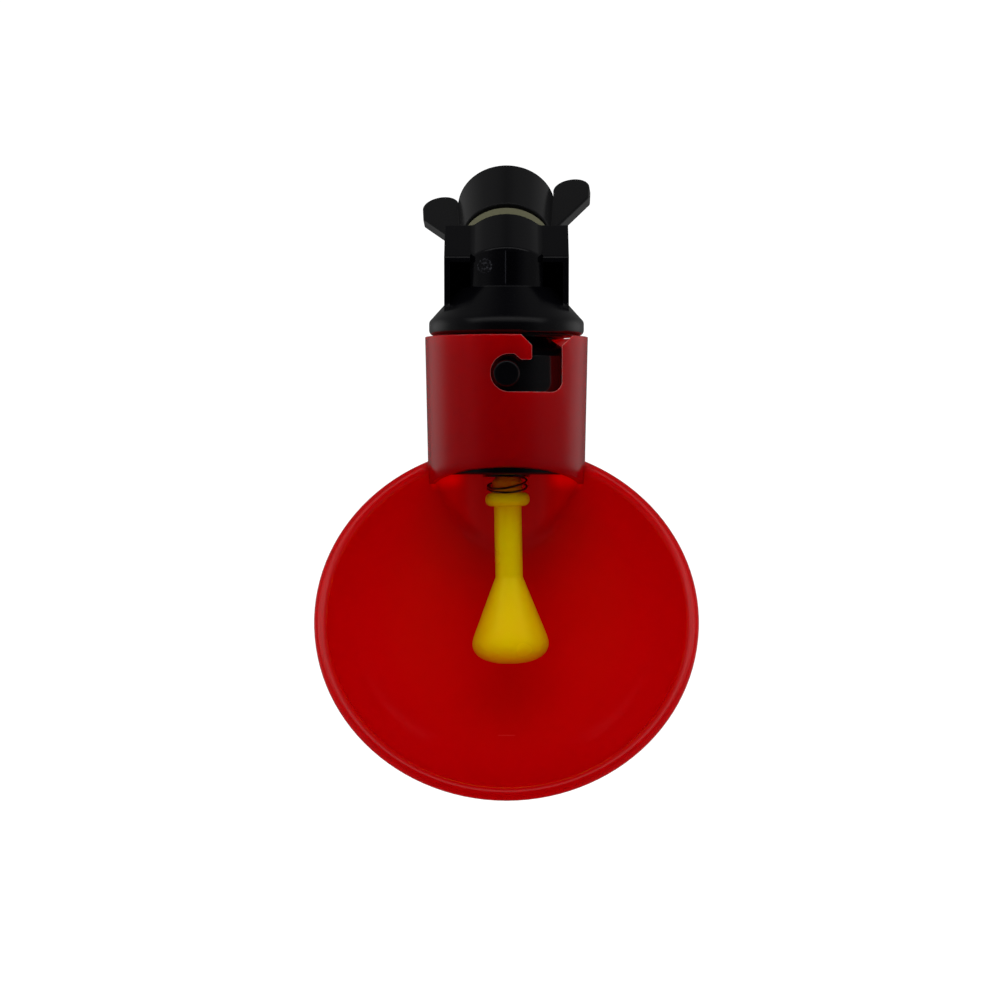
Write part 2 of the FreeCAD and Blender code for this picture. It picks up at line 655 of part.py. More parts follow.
def spring_path():
    """Two closed coils on the collar, an open stretch and a closed coil under the seat nut."""
    foot = spring_foot()
    top = -SPIGOT_LENGTH - SPRING_TOP_GAP - SPRING_WIRE_RADIUS
    closed_rise = SPRING_CLOSED_TURNS * SPRING_CLOSED_PITCH
    open_rise = top - foot - closed_rise
    turns = SPRING_CLOSED_TURNS + SPRING_OPEN_TURNS + SPRING_TOP_TURNS
    steps = int(16 * turns)
    points = []
    for step in range(steps + 1):
        turn = turns * step / steps
        opened = min(max((turn - SPRING_CLOSED_TURNS) / SPRING_OPEN_TURNS, 0), 1)
        smooth = opened * opened * (3 - 2 * opened)
        height = foot + min(turn, SPRING_CLOSED_TURNS) * SPRING_CLOSED_PITCH + open_rise * smooth
        angle = math.radians(360 * turn + 200)
        points.append(Vector(SPRING_RADIUS * math.cos(angle), SPRING_RADIUS * math.sin(angle), height))
    curve = Part.BSplineCurve()
    curve.interpolate(points)
    return curve


def make_spring():
    curve = spring_path()
    start = curve.value(curve.FirstParameter)
    way = curve.tangent(curve.FirstParameter)[0]
    section = Part.Wire(Part.makeCircle(SPRING_WIRE_RADIUS, start, way))
    spring = Part.Wire(curve.toShape()).makePipeShell([section], True, True)
    return leaned(spring)


def make_wall_gasket():
    gasket = Part.makeCylinder(GASKET_RADIUS, GASKET_THICKNESS, ORIGIN, Y_AXIS)
    return gasket.cut(Part.makeCylinder(STEM_RADIUS + GASKET_FIT, GASKET_THICKNESS, ORIGIN, Y_AXIS))


def nut_ear():
    """One ear of the wing nut, in the plane of the axis, on the +X side before it is rolled."""
    level = EAR_THICKNESS / 2
    near = NUT_START
    far = NUT_START + NUT_LENGTH
    root = NUT_NEAR_RADIUS - 2
    lobe_radius = EAR_LOBE_WIDTH / 2
    lobe_x = EAR_TIP_RADIUS - lobe_radius
    lobe_y = far + EAR_OVERHANG - lobe_radius

    def point(x, y):
        return Vector(x, y, -level)

    corner = point(EAR_CORNER_RADIUS, near + EAR_CORNER_BACK)
    inner = point(lobe_x - lobe_radius, lobe_y)
    tip = point(EAR_TIP_RADIUS, lobe_y)
    straight = [inner, point(lobe_x - lobe_radius, far), point(root, far), point(root, near),
                point(NUT_NEAR_RADIUS, near), corner, tip]
    edges = [Part.makeLine(start, end) for start, end in zip(straight, straight[1:])]
    lobe = Part.Arc(tip, point(lobe_x, lobe_y + lobe_radius), inner).toShape()
    ear = Part.Face(Part.Wire(edges + [lobe])).extrude(Vector(0, 0, EAR_THICKNESS))
    ear = rounded(ear, EAR_CORNER_ROUND, lambda e: (e.CenterOfMass - corner).cross(Z_AXIS).Length < 0.01)

    def on_a_face(edge):
        flat = all(abs(abs(v.Z) - level) < 0.01 for v in edge.Vertexes) and abs(edge.CenterOfMass.z) > level - 0.01
        return flat and edge.CenterOfMass.x > NUT_NEAR_RADIUS

    return rounded(ear, EAR_EDGE_ROUND, on_a_face)


def make_wing_nut():
    near = NUT_START
    far = NUT_START + NUT_LENGTH
    bore = STEM_RADIUS + THREAD_DEPTH + NUT_THREAD_CLEARANCE

    def point(radius, y):
        return Vector(radius, y, 0)

    nut = turned([
        point(bore, near),
        point(NUT_NEAR_RADIUS - NUT_CHAMFER, near),
        point(NUT_NEAR_RADIUS, near + NUT_CHAMFER),
        point(NUT_FAR_RADIUS, far),
        point(bore, far),
    ], Y_AXIS)
    ear = nut_ear()
    other = ear.copy()
    other.rotate(ORIGIN, Y_AXIS, 180)
    through = Part.makeCylinder(bore, NUT_LENGTH, Vector(0, near, 0), Y_AXIS)
    nut = nut.fuse(ear).fuse(other).cut(through)
    nut.rotate(ORIGIN, Y_AXIS, -EAR_ROLL)
    return nut


MAKERS = {
    "cup": make_cup,
    "valve_body": make_valve_body,
    "seat_nut": make_seat_nut,
    "seat_ring": make_seat_ring,
    "valve_seal": make_valve_seal,
    "trigger": make_trigger,
    "trigger_spring": make_spring,
    "wall_gasket": make_wall_gasket,
    "wing_nut": make_wing_nut,
}

os.makedirs("parts", exist_ok=True)
for node, maker in MAKERS.items():
    shape = maker()
    shape.exportStep(f"parts/{node}.step")
    box = shape.BoundBox
    print(node, "solids", len(shape.Solids), "valid", shape.isValid(), "volume", round(shape.Volume, 1),
          "box", [round(v, 1) for v in (box.XMin, box.YMin, box.ZMin, box.XMax, box.YMax, box.ZMax)])
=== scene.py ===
"""Looks of the poultry drinking cup: red bowl, black valve body and wing nut, yellow trigger.

Lengths in the parts below are millimetres in the neck frame or the stem's frame, and the functions
neck_to_use and mm turn them into metres in the frame of the finished part. The neck frame has the
neck's axis as Z, the centre of the neck's upper rim as origin and the front on its -Y side.
"""

import math

import bpy
from mathutils import Euler, Matrix, Vector


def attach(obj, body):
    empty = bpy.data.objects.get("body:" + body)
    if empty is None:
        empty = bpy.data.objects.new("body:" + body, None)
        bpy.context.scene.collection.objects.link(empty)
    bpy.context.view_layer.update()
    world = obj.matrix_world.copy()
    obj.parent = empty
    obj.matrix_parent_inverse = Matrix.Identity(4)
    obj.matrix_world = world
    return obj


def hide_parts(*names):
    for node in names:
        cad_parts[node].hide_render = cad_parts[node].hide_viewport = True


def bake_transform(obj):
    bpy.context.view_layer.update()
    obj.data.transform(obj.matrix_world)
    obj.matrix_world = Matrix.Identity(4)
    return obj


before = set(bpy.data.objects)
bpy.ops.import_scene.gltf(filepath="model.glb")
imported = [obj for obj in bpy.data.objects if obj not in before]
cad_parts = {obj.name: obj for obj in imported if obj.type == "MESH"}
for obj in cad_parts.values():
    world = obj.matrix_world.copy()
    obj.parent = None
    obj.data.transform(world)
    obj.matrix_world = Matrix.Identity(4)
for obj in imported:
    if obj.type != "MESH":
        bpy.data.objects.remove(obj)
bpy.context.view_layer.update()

# The neck in the frame of the finished part
NECK_LEAN = 35.0
STEM_BEHIND_NECK_AXIS = 6.8
STEM_ABOVE_RIM = 18.0

# The camera stands before the neck, at right angles to its axis
CAMERA_DISTANCE = 750.0
CAMERA_DEPTH = 29.2
PIXELS_PER_RADIAN = 3540.0
PHOTO_SIZE = 1000.0
AXIS_AT_PIXEL = (506.5, 475.0)
SENSOR_WIDTH = 36.0

# Thread of the inlet stem
STEM_RADIUS = 5.55
STEM_LENGTH = 25.0
THREAD_RADIUS = 6.25
THREAD_PITCH = 2.0
THREAD_START = 3.2
THREAD_END = 24.2
THREAD_FOOT_WIDTH = 1.5
THREAD_CREST_WIDTH = 0.35
THREAD_SUNK = 0.15

# Trigger and its spring, about the trigger's leaning axis
TRIGGER_LEAN = 1.2
SEAT_LEVEL = -24.1
SPRING_FOOT = -33.1
SPRING_TOP = -29.05
SPRING_RADIUS = 4.15
SPRING_WIRE_RADIUS = 0.22
SPRING_SAG = 1.05
SPRING_CLOSED_TURNS = 1.0
SPRING_OPEN_TURNS = 1.15
SPRING_TOP_TURNS = 0.5
SPRING_CLOSED_PITCH = 0.45
SPRING_FIRST_ANGLE = 150.0
SPRING_FRONT_TURN = 1 / 3

# Round mark and parting line on the front of the valve body, in the neck frame; a painted highlight runs
# along the line and a painted shade strip beside it
MARK_CENTRE = (-4.57, 14.6)
MARK_RADIUS = 1.35
PARTING_X = -0.2
PARTING_HEIGHTS = (10.8, 17.6)
SHADED_STRIP_WIDTH = 3.2

# Rings under the skirt: radius, width, top and bottom. Gate nub: place across, height, half sizes
SKIRT_RINGS = ((11.7, 1.0, 0.3, -0.3), (13.4, 3.2, 0.3, 0.07))
GATE_NUB = (-2.60, -48.6, (0.26, 1.3))

# The studio: a white wall and floor behind the cup, a dim room in front and one soft box overhead
FLOOR_HEIGHT = -0.30
FLOOR_SIZE = 8.0
FLOOR_GLOW = 1.2
# How bright the surroundings are away from the pale side panels (0), across (0.5) and towards them (1)
SURROUNDINGS = ((0.0, 0.0), (0.35, 0.003), (0.45, 0.01), (0.55, 0.03), (0.675, 0.08), (0.83, 0.09),
                (0.92, 0.14), (0.945, 0.17), (0.965, 0.26), (1.0, 0.50))
SIDE_PANEL_ANGLE = 30.0
# Lamps: degrees to the right of straight in front, degrees up, distance, width and height, radiance
SOFT_BOX = (0.0, 86.0, 0.65, (0.6, 0.6), 2.45)
FRONT_FILL = (0.0, 20.0, 1.20, (1.6, 1.6), 0.78)
SIDE_LIGHT_LEFT = (-110.0, 10.0, 0.65, (0.5, 0.5), 2.3)
SIDE_LIGHT_RIGHT = (110.0, 10.0, 0.65, (0.5, 0.5), 2.3)
MIRRORED_STRIP = (0.0, 82.0, 0.65, (1.3, 0.12), 0.4)
MIRRORED_PANEL = (0.0, 84.0, 0.66, (1.7, 0.42), 0.30)


def mm(*values):
    return Vector(values) / 1000


def neck_matrix():
    """From the neck frame to the frame of the finished part, both in metres."""
    lean = Matrix.Rotation(math.radians(-NECK_LEAN), 4, "X")
    root = lean @ mm(0, STEM_BEHIND_NECK_AXIS, STEM_ABOVE_RIM)
    return Matrix.Translation(-root) @ lean


def neck_to_use(x, y, z):
    return neck_matrix() @ mm(x, y, z)


# Node trees

class Socket:
    """An output of a node, or a number, that can be used in arithmetic."""

    def __init__(self, tree, source):
        self.tree = tree
        self.source = source

    def math(self, operation, *values):
        return self.tree.add("ShaderNodeMath", {"operation": operation}, dict(enumerate((self, *values))))

    def __add__(self, other):
        return self.math("ADD", other)

    __radd__ = __add__

    def __sub__(self, other):
        return self.math("SUBTRACT", other)

    def __rsub__(self, other):
        return self.tree.number(other).math("SUBTRACT", self)

    def __mul__(self, other):
        return self.math("MULTIPLY", other)

    __rmul__ = __mul__

    def __truediv__(self, other):
        return self.math("DIVIDE", other)

    def __lt__(self, other):
        return self.math("LESS_THAN", other)

    def __gt__(self, other):
        return self.math("GREATER_THAN", other)

    def abs(self):
        return self.math("ABSOLUTE")

    def least(self, other):
        return self.math("MINIMUM", other)

    def most(self, other):
        return self.math("MAXIMUM", other)

    def root(self):
        return self.math("SQRT")

    def step(self, low, high):
        """0 below low, 1 above high, and smooth between them."""
        return self.tree.add("ShaderNodeMapRange", {"interpolation_type": "SMOOTHSTEP"},
                             {"Value": self, "From Min": low, "From Max": high})


class Tree:
    """A node tree with one method that adds any node."""

    def __init__(self, tree):
        self.tree = tree
        self.tree.nodes.clear()

    def add(self, kind, settings=None, inputs=None, output=None):
        """Adds a node: its settings first, then the values or links of its sockets."""
        node = self.tree.nodes.new(kind)
        for name, value in (settings or {}).items():
            if name == "stops":
                self.set_stops(node.color_ramp, value)
            else:
                setattr(node, name, value)
        for name, value in (inputs or {}).items():
            self.put(self.find(node.inputs, name), value)
        if not node.outputs:
            return node
        found = self.find(node.outputs, output) if output is not None else self.first_shown(node.outputs)
        return Socket(self, found)

    def first_shown(self, sockets):
        return next(s for s in sockets if s.enabled)

    def find(self, sockets, name):
        if isinstance(name, int):
            return sockets[name]
        shown = [s for s in sockets if s.enabled]
        return next(s for s in shown if name in (s.identifier, s.name))

    def put(self, place, value):
        if isinstance(value, Socket):
            self.tree.links.new(value.source, place)
        else:
            place.default_value = value

    def set_stops(self, ramp, stops):
        """Sets a ramp whose first stop is at 0 and its last at 1."""
        for position, colour in stops[1:-1]:
            ramp.elements.new(position).color = colour
        ramp.elements[0].color = stops[0][1]
        ramp.elements[-1].color = stops[-1][1]

    def number(self, value):
        return self.add("ShaderNodeMath", {"operation": "ADD"}, {0: value, 1: 0.0})

    def parts(self, vector):
        """The three components of a vector."""
        split = self.add("ShaderNodeSeparateXYZ", {}, {"Vector": vector}).source.node
        return [Socket(self, output) for output in split.outputs]

    def dot(self, first, second):
        return self.add("ShaderNodeVectorMath", {"operation": "DOT_PRODUCT"}, {0: first, 1: second}, "Value")

    def mix(self, factor, first, second):
        """A colour between two colours."""
        return self.add("ShaderNodeMix", {"data_type": "RGBA"},
                        {"Factor_Float": factor, "A_Color": first, "B_Color": second})

    def noise(self, where, scale, detail=2.0, roughness=0.5):
        return self.add("ShaderNodeTexNoise", {},
                        {"Vector": where, "Scale": scale, "Detail": detail, "Roughness": roughness})


def rgb(red, green, blue):
    return (red, green, blue, 1.0)


def new_material(name, **uniform):
    """A material with one Principled shader, its uniform values set on the shader's own sockets."""
    material = bpy.data.materials.new(name)
    material.use_nodes = True
    tree = Tree(material.node_tree)
    shader = tree.add("ShaderNodeBsdfPrincipled")
    principled = shader.source.node
    for socket, value in uniform.items():
        principled.inputs[socket.replace("_", " ")].default_value = value
    tree.add("ShaderNodeOutputMaterial", {}, {"Surface": shader})
    return material, tree, principled


def neck_coordinates(tree):
    """Object coordinates turned into the neck frame, in metres."""
    place = tree.add("ShaderNodeTexCoord", {}, {}, "Object")
    inverse = neck_matrix().inverted()
    return tree.add("ShaderNodeMapping", {"vector_type": "POINT"}, {
        "Vector": place,
        "Location": inverse.translation,
        "Rotation": inverse.to_euler(),
    })


def moulded_surface(tree, principled, where, colours, roughness, grain, grain_size, edge):
    """Mottled colour, uneven gloss, a fine grain and softened edges, as moulded plastic has."""
    broad = tree.noise(where, 60.0, 3.0)
    colour = tree.mix(broad, rgb(*colours[0]), rgb(*colours[1]))
    tree.put(principled.inputs["Base Color"], colour)
    uneven = roughness[0] + (roughness[1] - roughness[0]) * tree.noise(where, 90.0, 1.0)
    tree.put(principled.inputs["Roughness"], uneven)
    soft_edge = tree.add("ShaderNodeBevel", {"samples": 6}, {"Radius": edge / 1000})
    fine = tree.noise(where, 1000.0 / grain_size, 3.0, 0.6)
    bump = tree.add("ShaderNodeBump", {}, {
        "Strength": grain, "Distance": 0.0001, "Height": fine, "Normal": soft_edge})
    tree.put(principled.inputs["Normal"], bump)
    return colour, soft_edge, bump


def neck_zones(tree, where):
    """1 at the neck's foot, in the bore, where shade is painted under the neck, on a small spot on the bowl's
    floor and on the foot's corners, which painted light brightens.
    """
    x, y, height = tree.parts(where)
    from_axis = (x * x + y * y).root()
    below_neck = height.step(-0.060, -0.055) * (1 - height.step(-0.026, -0.022))
    foot = (1 - from_axis.step(0.017, 0.020)) * below_neck
    bore = (1 - from_axis.step(0.0130, 0.0142)) * height.step(-0.034, -0.026)
    # The bowl's back wall where it meets the neck, where shade is painted in red_plastic.
    from_shade = (x * x + (y - 0.013) * (y - 0.013) + (height + 0.036) * (height + 0.036)).root()
    shade = 1 - from_shade.step(0.005, 0.026)
    # The lower corners of the neck's foot, where painted light brightens the red.
    corner_height = height.step(-0.033, -0.030) * (1 - height.step(-0.0285, -0.0265))
    corner = x.abs().step(0.008, 0.012) * corner_height * (1 - from_axis.step(0.0158, 0.0165))
    # A small spot on the bowl's floor below the trigger, painted pale in red_plastic.
    floor_spot = (1 - x.abs().step(0.0015, 0.0021)) * (1 - (height + 0.0846).abs().step(0.00005, 0.00018))
    return foot, bore, shade, floor_spot, corner


def red_plastic():
    material, tree, principled = new_material(
        "cup_red_gloss", IOR=1.49, Subsurface_Weight=1.0, Subsurface_Radius=(1.0, 0.1, 0.1),
        Subsurface_Scale=0.016)
    where = neck_coordinates(tree)
    colour, soft_edge, bump = moulded_surface(
        tree, principled, where, ((0.365, 0.0, 0.001), (0.405, 0.0, 0.002)), (0.11, 0.15), 0.02, 0.35, 0.3)
    flat = tree.add("ShaderNodeNewGeometry", {}, {}, "Normal")
    foot, bore, shade, floor_spot, corner = neck_zones(tree, where)
    # Painted highlight: a pale line along the edges, where the softened normal turns away from the flat one,
    # but not on the neck's foot; the small spot on the bowl's floor takes the same pale colour.
    on_edge = (1 - tree.dot(soft_edge, flat)).step(0.01, 0.12) * (1 - foot)
    edge_highlight_and_spot = tree.mix((0.7 * on_edge).most(0.12 * floor_spot), colour, rgb(0.80, 0.16, 0.15))
    # Painted light: the lower corners of the neck's foot are brightened to a plain lit red.
    lit = tree.mix(corner, edge_highlight_and_spot, rgb(0.95, 0.0, 0.0))
    tree.put(principled.inputs["Base Color"], lit)
    blended = tree.add("ShaderNodeBevel", {"samples": 8}, {"Radius": 0.0035})
    normal = tree.add("ShaderNodeMix", {"data_type": "VECTOR"}, {
        "Factor_Float": foot, "A_Vector": bump, "B_Vector": blended})
    tree.put(principled.inputs["Normal"], normal)
    # Painted shade: in the bore and where the bowl meets the neck, a darker red without the subsurface glow
    # stands in for the shade there.
    painted_shade_plastic = tree.add("ShaderNodeBsdfPrincipled", {}, {
        "Base Color": rgb(0.32, 0.0, 0.001), "Roughness": 0.4, "Normal": normal})
    where_shade_is_painted = (0.8 * bore).most(0.6 * shade * (1 - corner))
    glowing = Socket(tree, principled.outputs["BSDF"])
    plastic = tree.add("ShaderNodeMixShader", {}, {0: where_shade_is_painted, 1: glowing, 2: painted_shade_plastic})
    output = next(node for node in tree.tree.nodes if node.type == "OUTPUT_MATERIAL")
    tree.put(output.inputs["Surface"], plastic)
    return material


def black_plastic(name, colours, roughness, grain):
    material, tree, principled = new_material(name, IOR=1.5)
    where = neck_coordinates(tree)
    colour, soft_edge, bump = moulded_surface(tree, principled, where, colours, roughness, grain, 0.22, 0.3)
    return material, tree, principled, where, colour, bump


def marked_black():
    """The valve body's plastic, with a round mark and a parting line on its front; the line has a painted
    highlight and a painted shade strip beside it.
    """
    material, tree, principled, where, colour, bump = black_plastic(
        "body_black_satin", ((0.0012, 0.0012, 0.0018), (0.0018, 0.0018, 0.0026)), (0.17, 0.22), 0.06)
    x, y, height = (part * 1000 for part in tree.parts(where))
    front = y < -6.0
    from_mark = ((x - MARK_CENTRE[0]) * (x - MARK_CENTRE[0])
                 + (height - MARK_CENTRE[1]) * (height - MARK_CENTRE[1])).root()
    blotches = tree.noise(where, 1400.0, 2.0, 0.7).step(0.46, 0.62)
    ring = 1 - (from_mark - MARK_RADIUS).abs().step(0.10, 0.30)
    inside = 1 - from_mark.step(0.5, 1.1)
    mark = front * ring.most(inside) * blotches
    low, high = PARTING_HEIGHTS
    along = front * height.step(low - 0.3, low + 0.3) * (1 - height.step(high - 0.3, high + 0.3))
    line = along * (1 - (x - PARTING_X).abs().step(0.05, 0.16))
    # Painted shade: a darker strip just beside the parting line.
    strip = along * (x > PARTING_X) * (1 - (x - PARTING_X).step(0.6 * SHADED_STRIP_WIDTH, SHADED_STRIP_WIDTH))
    shaded = tree.mix(strip * 0.8, colour, rgb(0.0006, 0.0006, 0.0010))
    # The round mark is the plastic's own; the paler colour along the parting line is a painted highlight.
    mark_and_line_highlight = tree.mix(mark.most(0.5 * line), shaded, rgb(0.030, 0.030, 0.036))
    tree.put(principled.inputs["Base Color"], mark_and_line_highlight)
    from_axis = (x * x + y * y).root()
    shoulder = from_axis.step(12.0, 13.5) * height.step(0.8, 1.8) * (1 - height.step(6.0, 7.5))
    rounded = tree.add("ShaderNodeBevel", {"samples": 8}, {"Radius": 0.0025})
    normal = tree.add("ShaderNodeMix", {"data_type": "VECTOR"}, {
        "Factor_Float": shoulder, "A_Vector": bump, "B_Vector": rounded})
    tree.put(principled.inputs["Normal"], normal)
    return material


def yellow_plastic():
    """Translucent yellow, with the cup's red bounce light and the shade under the neck painted into its
    colour towards the top.
    """
    material, tree, principled = new_material(
        "trigger_yellow_gloss", IOR=1.49, Subsurface_Weight=1.0, Subsurface_Radius=(1.0, 0.8, 0.05),
        Subsurface_Scale=0.009, Specular_Tint=rgb(1.0, 0.90, 0.08),
        Specular_IOR_Level=0.9)
    where = neck_coordinates(tree)
    colour = moulded_surface(tree, principled, where, ((0.95, 0.58, 0.0), (0.99, 0.63, 0.0)),
                             (0.22, 0.30), 0.04, 0.4, 0.1)[0]
    height = tree.parts(where)[2]
    # Painted light and shade: the base turns orange, then dark red, towards the top, for the red light
    # bounced from the cup and the shade under the neck.
    painted_red_bounce = tree.mix(0.35 * height.step(-0.043, -0.035), colour, rgb(0.85, 0.30, 0.0))
    tree.put(principled.inputs["Base Color"],
             tree.mix(height.step(-0.0335, -0.0315), painted_red_bounce, rgb(0.70, 0.12, 0.0)))
    return material


def spring_wire():
    material, tree, principled = new_material("spring_wire", Metallic=1.0)
    where = neck_coordinates(tree)
    drawn = tree.noise(where, 1800.0, 3.0)
    tree.put(principled.inputs["Base Color"], tree.mix(drawn, rgb(0.10, 0.09, 0.08), rgb(0.17, 0.16, 0.15)))
    tree.put(principled.inputs["Roughness"], 0.22 + 0.2 * drawn)
    return material


def rubber(name, colours, roughness):
    material, tree, principled = new_material(name, IOR=1.45)
    where = neck_coordinates(tree)
    moulded_surface(tree, principled, where, colours, roughness, 0.25, 0.15, 0.15)
    return material


def dress(node, material):
    """Gives a carried-over piece its material."""
    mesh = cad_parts[node].data
    mesh.materials.clear()
    mesh.materials.append(material)


# Pieces made by geometry nodes

def geometry_tree(name, inputs):
    """A geometry tree with named number inputs, and the dictionary of its input sockets."""
    group = bpy.data.node_groups.new(name, "GeometryNodeTree")
    tree = Tree(group)
    for socket_name, (kind, value) in inputs.items():
        made = group.interface.new_socket(socket_name, in_out="INPUT", socket_type=kind)
        if value is not None:
            made.default_value = value
    group.interface.new_socket("Geometry", in_out="OUTPUT", socket_type="NodeSocketGeometry")
    entry = group.nodes.new("NodeGroupInput")
    return group, tree, {s.name: Socket(tree, s) for s in entry.outputs if s.name}


def grown_piece(name, group, values, material):
    """Runs a geometry tree on an empty mesh and keeps the result as a plain mesh."""
    maker = bpy.data.objects.new(name + "_maker", bpy.data.meshes.new(name + "_maker"))
    bpy.context.scene.collection.objects.link(maker)
    modifier = maker.modifiers.new("grow", "NODES")
    modifier.node_group = group
    for item in group.interface.items_tree:
        if item.in_out == "INPUT" and item.name in values:
            modifier[item.identifier] = values[item.name]
    evaluated = maker.evaluated_get(bpy.context.evaluated_depsgraph_get())
    mesh = bpy.data.meshes.new_from_object(evaluated)
    bpy.data.objects.remove(maker)
    mesh.name = name
    mesh.materials.clear()
    mesh.materials.append(material)
    piece = bpy.data.objects.new(name, mesh)
    bpy.context.scene.collection.objects.link(piece)
    return piece


def coil_curve(tree, count, position):
    """A line of count points whose places are a function of their share of its length."""
    line = tree.add("GeometryNodeCurvePrimitiveLine")
    points = tree.add("GeometryNodeResampleCurve", {}, {"Curve": line, "Count": count})
    share = tree.add("GeometryNodeSplineParameter", {}, {}, "Factor")
    return tree.add("GeometryNodeSetPosition", {}, {"Geometry": points, "Position": position(share)})


def point_on_circle(tree, angle, radius, height):
    return tree.add("ShaderNodeCombineXYZ", {}, {
        "X": radius * angle.math("COSINE"), "Y": radius * angle.math("SINE"), "Z": height})


def finish_tree(group, tree, geometry, material):
    real = tree.add("GeometryNodeRealizeInstances", {}, {"Geometry": geometry})
    painted = tree.add("GeometryNodeSetMaterial", {}, {"Geometry": real, "Material": material})
    tree.add("NodeGroupOutput", {}, {"Geometry": painted})


def thread_ridge(material):
    """The stem's thread: a trapezoid ridge along a helix, tapering out at both ends."""
    group, tree, inputs = geometry_tree("stem_thread", {
        "Root Radius": ("NodeSocketFloat", 0.005), "Turns": ("NodeSocketFloat", 10.0),
        "Length": ("NodeSocketFloat", 0.02), "Height": ("NodeSocketFloat", 0.0007),
        "Foot Width": ("NodeSocketFloat", 0.0015), "Crest Width": ("NodeSocketFloat", 0.0003)})
    points_per_turn = 48
    turns = (THREAD_END - THREAD_START) / THREAD_PITCH

    def place(share):
        angle = share * inputs["Turns"] * math.tau
        return point_on_circle(tree, angle, inputs["Root Radius"], share * inputs["Length"])

    helix = coil_curve(tree, int(turns * points_per_turn) + 1, place)
    upright = tree.add("GeometryNodeSetCurveNormal", {"mode": "Z_UP"}, {"Curve": helix})
    share = tree.add("GeometryNodeSplineParameter", {}, {}, "Factor")
    run_out = 0.5 / turns
    taper = (share / run_out).least((1 - share) / run_out).least(1.0).most(0.02)
    ridge = tree.add("GeometryNodeSetCurveRadius", {}, {"Curve": upright, "Radius": taper})
    profile = tree.add("GeometryNodeCurvePrimitiveQuadrilateral", {"mode": "TRAPEZOID"}, {
        "Height": inputs["Height"], "Bottom Width": inputs["Foot Width"],
        "Top Width": inputs["Crest Width"], "Offset": 0.0})
    mesh = tree.add("GeometryNodeCurveToMesh", {}, {
        "Curve": ridge, "Profile Curve": profile, "Fill Caps": True})
    finish_tree(group, tree, mesh, material)
    values = {
        "Root Radius": (THREAD_RADIUS + STEM_RADIUS - THREAD_SUNK) / 2000,
        "Turns": turns, "Length": (THREAD_END - THREAD_START) / 1000,
        "Height": (THREAD_RADIUS - STEM_RADIUS + THREAD_SUNK) / 1000,
        "Foot Width": THREAD_FOOT_WIDTH / 1000, "Crest Width": THREAD_CREST_WIDTH / 1000}
    thread = grown_piece("stem_thread", group, values, material)
    onto_stem = Matrix.Translation(mm(0, THREAD_START, 0)) @ Matrix.Rotation(math.radians(-90), 4, "X")
    thread.data.transform(onto_stem)
    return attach(thread, "valve")


def skirt_ring(material, name, radius, width, top, bottom):
    """A low ring under the skirt that closes the view through the gap above the neck."""
    group, tree, inputs = geometry_tree(name, {
        "Ring Radius": ("NodeSocketFloat", 0.011), "Width": ("NodeSocketFloat", 0.001),
        "Depth": ("NodeSocketFloat", 0.0006)})
    circle = tree.add("GeometryNodeCurvePrimitiveCircle", {}, {
        "Resolution": 128, "Radius": inputs["Ring Radius"]})
    section = tree.add("GeometryNodeCurvePrimitiveQuadrilateral", {}, {
        "Width": inputs["Width"], "Height": inputs["Depth"]})
    mesh = tree.add("GeometryNodeCurveToMesh", {}, {"Curve": circle, "Profile Curve": section})
    finish_tree(group, tree, mesh, material)
    values = {"Ring Radius": radius / 1000, "Width": width / 1000, "Depth": (top - bottom) / 1000}
    ring = grown_piece(name, group, values, material)
    ring.data.transform(neck_matrix() @ Matrix.Translation(mm(0, 0, (top + bottom) / 2)))
    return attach(ring, "valve")


def gate_nub(material):
    """The small stub left on the trigger's shaft where the plastic ran in."""
    bpy.ops.mesh.primitive_uv_sphere_add(segments=20, ring_count=12, radius=1.0)
    nub = bpy.context.object
    nub.name = "gate_nub"
    nub.data.name = "gate_nub"
    across, height, (width, length) = GATE_NUB
    place = Matrix.Translation(mm(across, 0, height)) @ Matrix.Diagonal((*mm(width, width, length), 1.0))
    nub.data.transform(trigger_matrix() @ place)
    nub.data.materials.append(material)
    for face in nub.data.polygons:
        face.use_smooth = True
    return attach(nub, "trigger")


def trigger_matrix():
    """From the trigger's own axis to the frame of the finished part."""
    pivot = Matrix.Translation(mm(0, 0, SEAT_LEVEL))
    lean = Matrix.Rotation(math.radians(-TRIGGER_LEAN), 4, "Y")
    return neck_matrix() @ pivot @ lean @ pivot.inverted()


